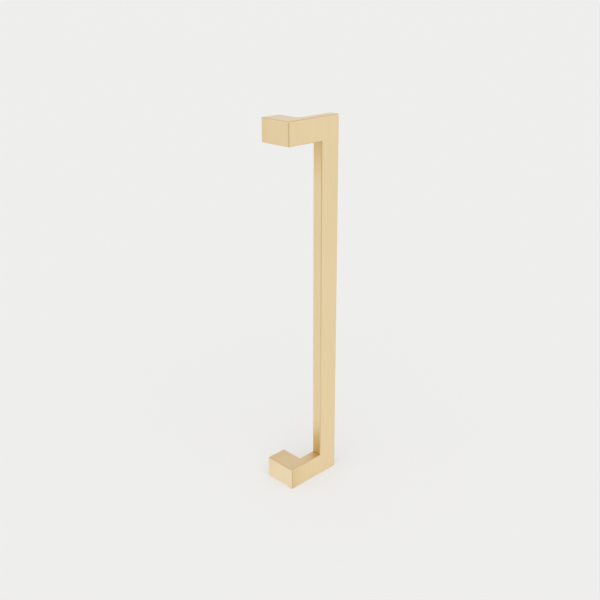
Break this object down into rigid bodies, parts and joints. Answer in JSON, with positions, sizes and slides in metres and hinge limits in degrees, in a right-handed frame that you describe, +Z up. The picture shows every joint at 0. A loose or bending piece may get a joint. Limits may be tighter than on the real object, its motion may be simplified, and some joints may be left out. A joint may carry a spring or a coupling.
{
  "type": "offset pull handle",
  "caption": "One-piece door pull: a flat bar in the form of a C, with a square leg standing back from the end of each arm, so that the grip is offset to one side of the fixings.",
  "frame": {"origin": "on the door's face, midway between the two fixing holes in the leg ends", "axes": "+X from the line of the legs towards the offset grip, +Y into the door, +Z up along the grip"},
  "size_m": [0.085, 0.047, 0.5],
  "materials": {
    "satin_brass": "satin, with a fine brushed grain and a clear lacquer look"
  },
  "bodies": {
    "root": {"pull_handle": "satin_brass"}
  },
  "joints": []
}
